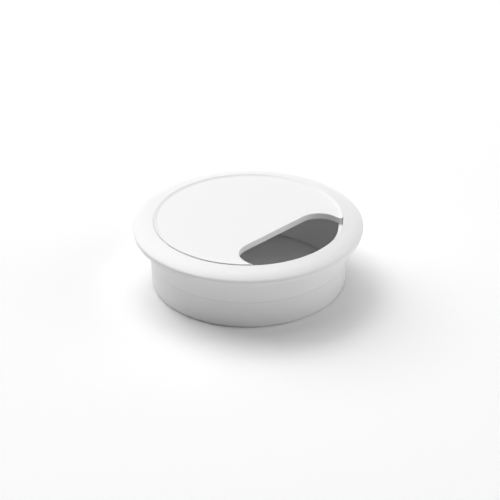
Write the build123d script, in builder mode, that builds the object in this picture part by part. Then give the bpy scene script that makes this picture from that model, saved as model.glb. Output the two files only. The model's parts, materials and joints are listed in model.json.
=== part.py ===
from build123d import *
import os

# Two-piece cable grommet for a round hole in a desk top, in millimetres with +Z up.
# The origin is the centre of the liner's foot, and the cap's cable slot faces -Y.

# Liner: sleeve
hole_d = 60.0  # hole in the desk top
hole_gap = 0.15  # radial room between sleeve and hole
sleeve_wall = 2.6
lead_in_h = 8.63  # lower stretch, drafted so that the sleeve starts easily into the hole
lead_in_step = 0.1  # how far the lead-in starts inside the sleeve
lead_in_draft = 0.2  # how far the lead-in narrows on its way down
grip_h = 8.2  # upper stretch, a true cylinder that sits in the hole
foot_edge = 0.3

# Liner: flange
flange_overhang = 4.85  # reach of the flange beyond the sleeve
strip_h = 1.3  # upright strip under the dome's edge
strip_step = 0.25  # how far the strip lies behind the dome's edge
dome_edge_h = 0.41  # upright stretch of the dome's edge before it is rounded
dome_edge_r = 0.5
dome_fall = 1.33  # from the end of the straight slope to the dome's edge, along a curve
slope_fall = 0.55  # from the rim to the end of the straight slope
slope_w = 2.75  # width of the straight slope round the rim
rim_r = 0.2

# Cap and its seat
ledge_w = 1.35  # ledge that carries the cap
cap_gap = 0.04  # radial running room between cap and recess
seat_gap = 0.1  # running room between cap and ledge
cap_t = 1.81
cap_sink = 0.17  # how far the cap's flat top lies below the rim
lip_h = 0.44  # raised lip round the cap
crest_w = 0.26  # flat top of the lip
lip_sweep = 1.3  # width of the hollow curve from the flat top up to the lip
lip_edge = 0.05

# Cable slot in the cap
slot_w = 37.95
slot_back = 11.3  # from the axis to the slot's straight back edge
slot_corner_r = 6.7
slot_edge_r = 0.15
tip_r = 0.45  # rounding of the cap's two points beside the slot, seen from above
tip_share = 0.3  # that rounding goes no higher than this share of the slot's straight side

# Guide legs under the cap
leg_gap = 0.25  # radial room between the legs and the bore
leg_t = 1.2
leg_w = 12.0
leg_h = 4.0
leg_count = 3

# Radii and heights that follow from these
sleeve_r = hole_d / 2 - hole_gap
bore_r = sleeve_r - sleeve_wall
recess_r = bore_r + ledge_w
lead_in_r = sleeve_r - lead_in_step
foot_r = lead_in_r - lead_in_draft
flange_r = sleeve_r + flange_overhang
strip_r = flange_r - strip_step
slope_r = recess_r + slope_w
flange_z = lead_in_h + grip_h
strip_z = flange_z + strip_h
dome_z = strip_z + dome_edge_h
slope_z = dome_z + dome_fall
rim_z = slope_z + slope_fall
cap_r = recess_r - cap_gap
crest_r = cap_r - crest_w
sweep_r = crest_r - lip_sweep
top_z = rim_z - cap_sink
cap_z = top_z - cap_t
lip_z = top_z + lip_h
ledge_z = cap_z - seat_gap
slot_side = (cap_r**2 - (slot_w / 2) ** 2) ** 0.5 - slot_back - slot_corner_r
leg_r = bore_r - leg_gap

os.makedirs("parts", exist_ok=True)

# Liner: one turned section, its edges broken in the drawing
with BuildPart() as liner:
    with BuildSketch(Plane.XZ) as section:
        with BuildLine():
            walls = Polyline(
                (slope_r, slope_z),
                (recess_r, rim_z),
                (recess_r, ledge_z),
                (bore_r, ledge_z),
                (bore_r, 0),
                (foot_r, 0),
                (lead_in_r, lead_in_h),
                (sleeve_r, lead_in_h),
                (sleeve_r, flange_z),
                (strip_r, flange_z),
                (strip_r, strip_z),
                (flange_r, strip_z),
                (flange_r, dome_z),
            )
            TangentArc(walls @ 0, walls @ 1, tangent=-(walls % 0))
        make_face()
        fillet(section.vertices().group_by(Axis.X)[-1].sort_by(Axis.Y)[-1], dome_edge_r)
        fillet(section.vertices().sort_by(Axis.Y)[-1], rim_r)
        chamfer(section.vertices().group_by(Axis.Y)[0].sort_by(Axis.X)[-1], foot_edge)
    revolve(axis=Axis.Z)
liner.part.label = "liner"
export_step(liner.part, "parts/liner.step")

# Cap: a turned plate with a raised lip, the slot cut out through it, the points beside the slot rounded
# off, and guide legs that reach into the bore
with BuildPart() as cap:
    with BuildSketch(Plane.XZ) as disc:
        with BuildLine():
            sides = Polyline(
                (sweep_r, top_z),
                (0, top_z),
                (0, cap_z),
                (cap_r, cap_z),
                (cap_r, lip_z),
                (crest_r, lip_z),
            )
            TangentArc(sides @ 0, sides @ 1, tangent=-(sides % 0))
        make_face()
        chamfer(disc.vertices().group_by(Axis.X)[-1].sort_by(Axis.Y)[-1], lip_edge)
    revolve(axis=Axis.Z)

    with BuildSketch(Plane.XY.offset(cap_z)) as slot:
        with Locations((0, -slot_back)):
            Rectangle(slot_w, cap_r, align=(Align.CENTER, Align.MAX))
        fillet(slot.vertices().group_by(Axis.Y)[-1], slot_corner_r)
    extrude(amount=lip_z - cap_z, mode=Mode.SUBTRACT)
    flat_top = cap.faces().filter_by(Axis.Z).sort_by(Axis.Z)[1]
    fillet(flat_top.edges().sort_by(SortBy.LENGTH)[:-1], slot_edge_r)

    with BuildSketch(Plane.XY.offset(cap_z)) as outline:
        Circle(cap_r)
        add(slot.sketch, mode=Mode.SUBTRACT)
        fillet(outline.vertices().group_by(Axis.Y)[0], min(tip_r, tip_share * slot_side))
    extrude(amount=lip_z - cap_z, mode=Mode.INTERSECT)

    with BuildSketch(Plane.XY.offset(cap_z)):
        with PolarLocations(leg_r, leg_count, angular_range=180, endpoint=True):
            Rectangle(leg_w, leg_w)
        Circle(leg_r, mode=Mode.INTERSECT)
        Circle(leg_r - leg_t, mode=Mode.SUBTRACT)
    extrude(amount=-leg_h)
cap.part.label = "cap"
export_step(cap.part, "parts/cap.step")
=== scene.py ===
import json
import math

import bmesh
import bpy
from mathutils import Matrix, Vector


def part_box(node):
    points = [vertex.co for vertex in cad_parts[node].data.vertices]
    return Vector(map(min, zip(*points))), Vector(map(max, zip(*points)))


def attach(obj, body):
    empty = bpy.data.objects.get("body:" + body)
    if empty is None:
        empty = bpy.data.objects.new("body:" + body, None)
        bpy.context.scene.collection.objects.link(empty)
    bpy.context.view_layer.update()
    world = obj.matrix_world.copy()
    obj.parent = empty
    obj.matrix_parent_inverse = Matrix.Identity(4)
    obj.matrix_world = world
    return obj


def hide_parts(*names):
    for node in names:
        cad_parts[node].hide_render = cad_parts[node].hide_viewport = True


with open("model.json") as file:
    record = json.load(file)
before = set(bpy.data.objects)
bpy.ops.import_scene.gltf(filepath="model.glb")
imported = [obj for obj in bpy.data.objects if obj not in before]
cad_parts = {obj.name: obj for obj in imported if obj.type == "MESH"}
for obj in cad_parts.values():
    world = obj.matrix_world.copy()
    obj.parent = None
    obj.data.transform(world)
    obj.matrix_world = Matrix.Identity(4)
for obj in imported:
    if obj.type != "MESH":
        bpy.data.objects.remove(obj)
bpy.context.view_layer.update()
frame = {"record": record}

# Liner: the flanged sleeve that drops into the hole in the desk top.
# One injection moulding in white ABS: a plain sleeve with a drafted lower half, a flange with a domed top over an
# upright strip, and a stepped recess for the cap. Every edge has the small rounding that a mould leaves.
MM = 0.001
mounts = {mount["name"]: mount for mount in frame["record"]["mounts"]}
flange_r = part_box("liner")[1].x
flange_z = mounts["flange_underside"]["pos_m"][2]
sleeve_r = mounts["sleeve"]["dims"]["r_mm"] * MM
lead_in_h = flange_z - mounts["sleeve"]["dims"]["length_mm"] * MM
lead_in_r = sleeve_r - 0.1 * MM
foot_r = lead_in_r - 0.2 * MM
bore_r = sleeve_r - 2.6 * MM
recess_r = bore_r + 1.35 * MM
strip_r = flange_r - 0.25 * MM
strip_z = flange_z + 1.3 * MM
dome_z = strip_z + 0.41 * MM
slope_r = recess_r + 2.75 * MM
slope_z = dome_z + 1.33 * MM
rim_z = slope_z + 0.55 * MM
ledge_z = rim_z - 2.08 * MM
turn_steps = 256


def draw_path(bm, points):
    """Draws a chain of straight edges through points, and gives its vertices."""
    verts = [bm.verts.new(point) for point in points]
    for start, end in zip(verts, verts[1:]):
        bm.edges.new((start, end))
    return verts


def draw_tangent_arc(bm, start, along, end, steps):
    """Draws an arc in the XZ plane from start, where it runs along a direction, to a place; start is a vertex."""
    reach = Vector(end) - start.co
    side = Vector((along.z, 0, -along.x)).normalized()
    radius = reach.length_squared / (2 * reach.dot(side))
    bmesh.ops.spin(
        bm, geom=[start], cent=start.co + side * radius, axis=(0, 1, 0),
        angle=2 * math.asin(reach.length / (2 * radius)), steps=steps, use_duplicate=False,
    )


def round_corner(bm, place, size, segments=6):
    """Rounds the corner of a drawn outline at a place; size is how far the rounding reaches along its two edges."""
    nearest = min(bm.verts, key=lambda vert: (vert.co - Vector(place)).length)
    bmesh.ops.bevel(
        bm, geom=[nearest], offset=size, offset_type="OFFSET", segments=segments, profile=0.5,
        affect="VERTICES", clamp_overlap=False, material=-1,
    )


def finish_piece(bm, name):
    """Turns a closed bmesh into a smooth-shaded object whose flat faces stay flat."""
    bmesh.ops.remove_doubles(bm, verts=bm.verts, dist=0.001 * MM)
    bmesh.ops.recalc_face_normals(bm, faces=bm.faces)
    for face in bm.faces:
        face.smooth = True
    for edge in bm.edges:
        edge.smooth = edge.calc_face_angle() < math.radians(40)
    mesh = bpy.data.meshes.new(name)
    bm.to_mesh(mesh)
    bm.free()
    piece = bpy.data.objects.new(name, mesh)
    bpy.context.scene.collection.objects.link(piece)
    even = piece.modifiers.new("even_normals", "WEIGHTED_NORMAL")
    even.mode = "FACE_AREA"
    even.weight = 100
    even.keep_sharp = True
    return piece


bm = bmesh.new()
rounded = [
    ((recess_r, 0, rim_z), 0.24 * MM),
    ((recess_r, 0, ledge_z), 0.1 * MM),
    ((bore_r, 0, ledge_z), 0.15 * MM),
    ((bore_r, 0, 0), 0.2 * MM),
    ((foot_r, 0, 0), 0.5 * MM),
    ((lead_in_r, 0, lead_in_h), 0.03 * MM),
    ((sleeve_r, 0, lead_in_h), 0.04 * MM),
    ((sleeve_r, 0, flange_z), 0.15 * MM),
    ((strip_r, 0, flange_z), 0.12 * MM),
    ((strip_r, 0, strip_z), 0.04 * MM),
    ((flange_r, 0, strip_z), 0.05 * MM),
    ((flange_r, 0, dome_z), 0.29 * MM),
]
outline = draw_path(bm, [(slope_r, 0, slope_z)] + [place for place, size in rounded])
draw_tangent_arc(bm, outline[0], outline[0].co - outline[1].co, rounded[-1][0], 8)
bmesh.ops.remove_doubles(bm, verts=bm.verts, dist=0.01 * MM)
for place, size in rounded:
    round_corner(bm, place, size)
bmesh.ops.spin(
    bm, geom=bm.verts[:] + bm.edges[:], cent=(0, 0, 0), axis=(0, 0, 1), angle=2 * math.pi, steps=turn_steps,
    use_merge=True, use_duplicate=False,
)
liner = finish_piece(bm, "liner_moulding")
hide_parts("liner")
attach(liner, "liner")


def linear(hex_colour):
    """An sRGB hex colour as linear RGBA."""
    values = [int(hex_colour[i:i + 2], 16) / 255 for i in (1, 3, 5)]
    return [v / 12.92 if v <= 0.04045 else ((v + 0.055) / 1.055) ** 2.4 for v in values] + [1.0]


def add_node(tree, kind, settings=None, links=None):
    """Adds a node; settings name its properties or sockets, links name sockets and what feeds them."""
    node = tree.nodes.new(kind)
    for key, value in (settings or {}).items():
        if key in node.inputs:
            node.inputs[key].default_value = value
        else:
            setattr(node, key, value)
    for key, source in (links or {}).items():
        tree.links.new(source, node.inputs[key])
    return node


def moulded_abs(name, colour, roughness, grain_mm, grain_depth_mm):
    """Opaque ABS with the fine even grain of its mould, which breaks up the gloss; grain sizes are in millimetres."""
    material = bpy.data.materials.new(name)
    material.use_nodes = True
    tree = material.node_tree
    shader = tree.nodes["Principled BSDF"]
    shader.inputs["Base Color"].default_value = linear(colour)
    shader.inputs["IOR"].default_value = 1.54
    place = add_node(tree, "ShaderNodeTexCoord")
    grain = add_node(
        tree, "ShaderNodeTexNoise", {"Scale": 1 / (grain_mm * MM), "Detail": 2.0},
        {"Vector": place.outputs["Object"]},
    )
    bump = add_node(
        tree, "ShaderNodeBump", {"Distance": grain_depth_mm * MM, "Strength": 1.0},
        {"Height": grain.outputs["Fac"]},
    )
    gloss = add_node(
        tree, "ShaderNodeMapRange", {"To Min": roughness - 0.05, "To Max": roughness + 0.05},
        {"Value": grain.outputs["Fac"]},
    )
    tree.links.new(gloss.outputs["Result"], shader.inputs["Roughness"])
    tree.links.new(bump.outputs["Normal"], shader.inputs["Normal"])
    return material


# White ABS, satin moulded: opaque neutral white with a soft broad gloss. A real grain is about 0.05 mm wide, and is
# drawn coarser, about one pixel of the photograph, so that it shows. The flange is the show face and keeps the plain
# white. The sleeve is painted a little darker as painted shade under the flange's overhang, its lower half darker still
# as painted shade towards the floor, and fine dark lines are painted shadow under the step where the lower half ends
# and under the dome's edge.
flange_white, sleeve_painted_shade, lead_in_painted_shade, painted_shadow_line = "#F3F3F3", "#F1F1F1", "#EEEEEE", "#DDDDDD"
satin = moulded_abs("white_ABS_satin_moulded", flange_white, 0.42, 0.35, 0.002)
tree = satin.node_tree
place = add_node(tree, "ShaderNodeTexCoord")
axes = add_node(tree, "ShaderNodeSeparateXYZ", links={"Vector": place.outputs["Object"]})
height = add_node(tree, "ShaderNodeMapRange", {"From Max": rim_z}, {"Value": axes.outputs["Z"]})
painted_shade_bands = add_node(tree, "ShaderNodeValToRGB", links={"Fac": height.outputs["Result"]})
painted_shade_bands.color_ramp.elements[0].color = linear(lead_in_painted_shade)
painted_shade_bands.color_ramp.elements[1].color = linear(flange_white)
# Painted shade by height: the sleeve darker under the flange, its lower half darker still, and thin painted shadow
# lines at the step and under the dome's edge.
for z, colour in (
    (lead_in_h - 0.3 * MM, lead_in_painted_shade),
    (lead_in_h - 0.1 * MM, painted_shadow_line),
    (lead_in_h, sleeve_painted_shade),
    (flange_z - 0.1 * MM, sleeve_painted_shade),
    (flange_z, flange_white),
    (strip_z - 0.4 * MM, flange_white),
    (strip_z - 0.1 * MM, painted_shadow_line),
    (strip_z + 0.1 * MM, flange_white),
):
    painted_shade_bands.color_ramp.elements.new(z / rim_z).color = linear(colour)
flat = add_node(tree, "ShaderNodeMapping", {"Scale": (1, 1, 0)}, {"Vector": place.outputs["Object"]})
radius = add_node(tree, "ShaderNodeVectorMath", {"operation": "LENGTH"}, {"Vector": flat.outputs["Vector"]})
# The painted shade goes only on the outside of the sleeve; the bore and recess keep the plain flange white.
outside = add_node(
    tree, "ShaderNodeMapRange", {"From Min": recess_r, "From Max": foot_r - 0.3 * MM},
    {"Value": radius.outputs["Value"]},
)
tone = add_node(
    tree, "ShaderNodeMixRGB", {"Color1": linear(flange_white)},
    {"Fac": outside.outputs["Result"], "Color2": painted_shade_bands.outputs["Color"]},
)
tree.links.new(tone.outputs["Color"], tree.nodes["Principled BSDF"].inputs["Base Color"])
liner.data.materials.append(satin)

# Cap: the round cover that lies in the liner's recess and turns there.
# One injection moulding in white ABS: a flat plate with a low raised lip round it, a wide cable slot cut out through
# the lip, and three guide legs on the hidden side that reach down into the liner's bore.
cap_low, cap_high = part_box("cap")
cap_r = cap_high.x
lip_z = cap_high.z
top_z = lip_z - 0.44 * MM
cap_z = top_z - 1.81 * MM
crest_r = cap_r - 0.26 * MM
sweep_r = crest_r - 1.3 * MM
slot_half = 37.95 / 2 * MM
slot_back = 11.3 * MM
slot_corner_r = 6.7 * MM
slot_edge_r = 0.15 * MM
tip_r = 0.45 * MM
tip_cuts = 8
leg_r = bore_r - 0.25 * MM
leg_t = 1.2 * MM
leg_half = 12.0 / 2 * MM


def draw_slot_line(bm, height):
    """Draws half of the slot's outline at a height, its back edge and right corner, and gives its vertices."""
    line = draw_path(bm, [(0, -slot_back, height), (slot_half - slot_corner_r, -slot_back, height)])
    drawn = set(bm.verts)
    bmesh.ops.spin(
        bm, geom=line[1:], cent=(slot_half - slot_corner_r, -slot_back - slot_corner_r, height), axis=(0, 0, 1),
        angle=-math.pi / 2, steps=24, use_duplicate=False,
    )
    return line + [vert for vert in bm.verts if vert not in drawn]


def ring_verts(bm, radius, height):
    """Gives the vertices that lie on a ring round the axis, in order of their angle."""
    found = [
        vert for vert in bm.verts
        if abs(vert.co.z - height) < 0.001 * MM and abs(vert.co.xy.length - radius) < 0.01 * MM
    ]
    return sorted(found, key=lambda vert: math.atan2(vert.co.y, vert.co.x))


bm = bmesh.new()
lip = draw_path(bm, [(crest_r, 0, lip_z), (cap_r, 0, lip_z), (cap_r, 0, cap_z), (sweep_r, 0, cap_z)])
draw_tangent_arc(bm, bm.verts.new((sweep_r, 0, top_z)), Vector((1, 0, 0)), lip[0].co, 8)
bmesh.ops.remove_doubles(bm, verts=bm.verts, dist=0.001 * MM)
round_corner(bm, (cap_r, 0, lip_z), 0.05 * MM, 3)
half_turn = math.radians(145)
bmesh.ops.rotate(bm, verts=bm.verts, cent=(0, 0, 0), matrix=Matrix.Rotation(math.pi / 2 - half_turn, 3, "Z"))
bmesh.ops.spin(
    bm, geom=bm.verts[:] + bm.edges[:], cent=(0, 0, 0), axis=(0, 0, 1), angle=half_turn, steps=112,
    use_duplicate=False,
)
upper = draw_slot_line(bm, top_z)
lower = draw_slot_line(bm, cap_z)
tip_x = slot_half + tip_r
tip_y = -math.sqrt((cap_r - tip_r) ** 2 - tip_x ** 2)
tip_turn = math.atan2(tip_y, tip_x) + math.pi
for step in range(tip_cuts):
    away = Vector((-1, 0, 0))
    away.rotate(Matrix.Rotation(tip_turn * step / tip_cuts, 3, "Z"))
    tip = [face for face in bm.faces if all(vert.co.y < 0 for vert in face.verts)]
    near = {item for face in tip for item in face.verts[:] + face.edges[:]}
    cut = bmesh.ops.bisect_plane(
        bm, geom=tip + list(near), dist=0.0001 * MM, plane_co=Vector((tip_x, tip_y, 0)) + away * tip_r, plane_no=away,
        clear_outer=True,
    )["geom_cut"]
    end = [item for item in cut if isinstance(item, bmesh.types.BMEdge)]
    if step == 0:
        inner = sorted(cut, key=lambda item: item.co.xy.length if isinstance(item, bmesh.types.BMVert) else 1)[:2]
        inner.sort(key=lambda vert: -vert.co.z)
        bm.faces.new(upper[-1:] + inner + lower[-1:])
        end.append(bm.edges.get(inner))
    bmesh.ops.edgeloop_fill(bm, edges=end)
slot_edges = [bm.edges.get(pair) for line in (upper, lower) for pair in zip(line, line[1:])]
bmesh.ops.bridge_loops(bm, edges=slot_edges)
bm.faces.new(upper + ring_verts(bm, sweep_r, top_z))
bm.faces.new(lower + ring_verts(bm, sweep_r, cap_z))
bmesh.ops.mirror(bm, geom=bm.verts[:] + bm.edges[:] + bm.faces[:], axis="X", merge_dist=0.001 * MM)
bmesh.ops.recalc_face_normals(bm, faces=bm.faces)
slot_walls = {
    face for face in bm.faces
    if abs(face.normal.z) < 0.01
    and all(abs(vert.co.x) < slot_half + 0.001 * MM and vert.co.y < 0.001 * MM - slot_back for vert in face.verts)
}
slot_rim = [
    edge for edge in bm.edges
    if len(slot_walls.intersection(edge.link_faces)) == 1
    and max(face.normal.z for face in edge.link_faces) > 0.5 and min(vert.co.xy.length for vert in edge.verts) < crest_r
]
bmesh.ops.bevel(
    bm, geom=slot_rim, offset=slot_edge_r, offset_type="OFFSET", segments=4, profile=0.5, affect="EDGES",
    clamp_overlap=False, material=-1,
)
for turn in (0, math.pi / 2, math.pi):
    half_angle = math.asin(leg_half / leg_r)
    leg_top = cap_z + 0.2 * MM
    section = draw_path(bm, [
        (leg_r - leg_t, 0, cap_low.z), (leg_r, 0, cap_low.z), (leg_r, 0, leg_top), (leg_r - leg_t, 0, leg_top),
    ])
    face = bm.faces.new(section)
    bmesh.ops.rotate(bm, verts=section, cent=(0, 0, 0), matrix=Matrix.Rotation(turn - half_angle, 3, "Z"))
    bmesh.ops.spin(
        bm, geom=[face] + face.edges[:] + section, cent=(0, 0, 0), axis=(0, 0, 1), angle=2 * half_angle, steps=16,
        use_duplicate=False,
    )
cap = finish_piece(bm, "cap_moulding")
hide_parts("cap")
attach(cap, "cap")

# White ABS, matte moulded: a shade lighter, in a finer grain with a broader and weaker gloss that hides finger marks.
cap.data.materials.append(moulded_abs("white_ABS_matte_moulded", "#F6F6F6", 0.5, 0.3, 0.002))

# Floor: a plain white paper sweep, far larger than the view and turned up all round behind the lamps.
# It lies 0.2 mm lower, which gives the dark gap that an uneven foot leaves under itself in the photograph. Its far
# part, which only views from near the floor reach, is white to the eye and in reflections and throws no light.
bm = bmesh.new()
bmesh.ops.create_circle(bm, cap_ends=True, segments=128, radius=2.6, matrix=Matrix.Translation((0, 0, -0.2 * MM)))
wall = bmesh.ops.extrude_edge_only(bm, edges=bm.edges[:])["geom"]
bmesh.ops.translate(bm, verts=[item for item in wall if isinstance(item, bmesh.types.BMVert)], vec=(0, 0, 0.6))
mesh = bpy.data.meshes.new("floor")
bm.to_mesh(mesh)
bm.free()
floor = bpy.data.objects.new("floor", mesh)
bpy.context.scene.collection.objects.link(floor)
paper = bpy.data.materials.new("matte_white_paper")
paper.use_nodes = True
tree = paper.node_tree
shader = tree.nodes["Principled BSDF"]
shader.inputs["Roughness"].default_value = 0.9
shader.inputs["Specular IOR Level"].default_value = 0.0
ray = add_node(tree, "ShaderNodeLightPath")
mirrored = add_node(
    tree, "ShaderNodeMath", {"operation": "MAXIMUM"},
    {0: ray.outputs["Is Glossy Ray"], 1: ray.outputs["Is Transmission Ray"]},
)
seen = add_node(
    tree, "ShaderNodeMath", {"operation": "MAXIMUM"},
    {0: ray.outputs["Is Camera Ray"], 1: mirrored.outputs["Value"]},
)
place = add_node(tree, "ShaderNodeTexCoord")
reach = add_node(tree, "ShaderNodeVectorMath", {"operation": "LENGTH"}, {"Vector": place.outputs["Object"]})
far = add_node(
    tree, "ShaderNodeMapRange", {"From Min": 1.0, "From Max": 1.8}, {"Value": reach.outputs["Value"]},
)
glow = add_node(
    tree, "ShaderNodeMath", {"operation": "MULTIPLY"}, {0: seen.outputs["Value"], 1: far.outputs["Result"]},
)
tone = add_node(
    tree, "ShaderNodeMixRGB", {"Color1": linear("#FDFDFD"), "Color2": linear("#000000")},
    {"Fac": far.outputs["Result"]},
)
shader.inputs["Emission Color"].default_value = linear("#FDFDFD")
tree.links.new(tone.outputs["Color"], shader.inputs["Base Color"])
tree.links.new(glow.outputs["Value"], shader.inputs["Emission Strength"])
floor.data.materials.append(paper)

# Light: large soft boxes overhead and at the back left, and weaker ones on the left, the right and the front right.
# Azimuths run from the picture's right.
view_turn = math.radians(-45)
world = bpy.data.worlds.new("studio")
bpy.context.scene.world = world
world.use_nodes = True
world.node_tree.nodes["Background"].inputs["Strength"].default_value = 0.0
for name, azimuth, elevation, watts in (
    ("overhead", 110, 70, 21.5),
    ("back_left", 135, 45, 24.5),
    ("left", 150, 20, 7.0),
    ("right", 2, 20, 14.5),
    ("front_right", 305, 40, 7.0),
):
    lamp = bpy.data.lights.new(name, "AREA")
    lamp.size = 1.75
    lamp.energy = watts
    soft_box = bpy.data.objects.new(name, lamp)
    soft_box.location = Matrix.Rotation(math.radians(azimuth) + view_turn, 3, "Z") @ Vector(
        (2.0 * math.cos(math.radians(elevation)), 0, 2.0 * math.sin(math.radians(elevation)))
    )
    soft_box.rotation_euler = soft_box.location.to_track_quat("Z", "Y").to_euler()
    bpy.context.scene.collection.objects.link(soft_box)

# Camera: the photograph's viewing angle, distance and slight lean.
view_elevation = math.radians(29.61)
view_lean = math.radians(-0.475)
view_distance = 485.8 * MM
aim_right = 0.494 * MM
aim_height = 9.143 * MM
focal_px = 1595.5
frame_px = 500
lens = bpy.data.cameras.new("photo_camera")
lens.sensor_width = 36.0
lens.lens = focal_px / frame_px * lens.sensor_width
camera = bpy.data.objects.new("photo_camera", lens)
aim = Matrix.Rotation(view_turn, 3, "Z") @ Vector((aim_right, 0, aim_height))
back = Matrix.Rotation(view_turn, 3, "Z") @ Vector((0, -math.cos(view_elevation), math.sin(view_elevation)))
camera.location = aim + back * view_distance
camera.rotation_euler = (back.to_track_quat("Z", "Y").to_matrix() @ Matrix.Rotation(view_lean, 3, "Z")).to_euler()
bpy.context.scene.collection.objects.link(camera)
bpy.context.scene.camera = camera
bpy.context.scene.view_settings.view_transform = "Standard"
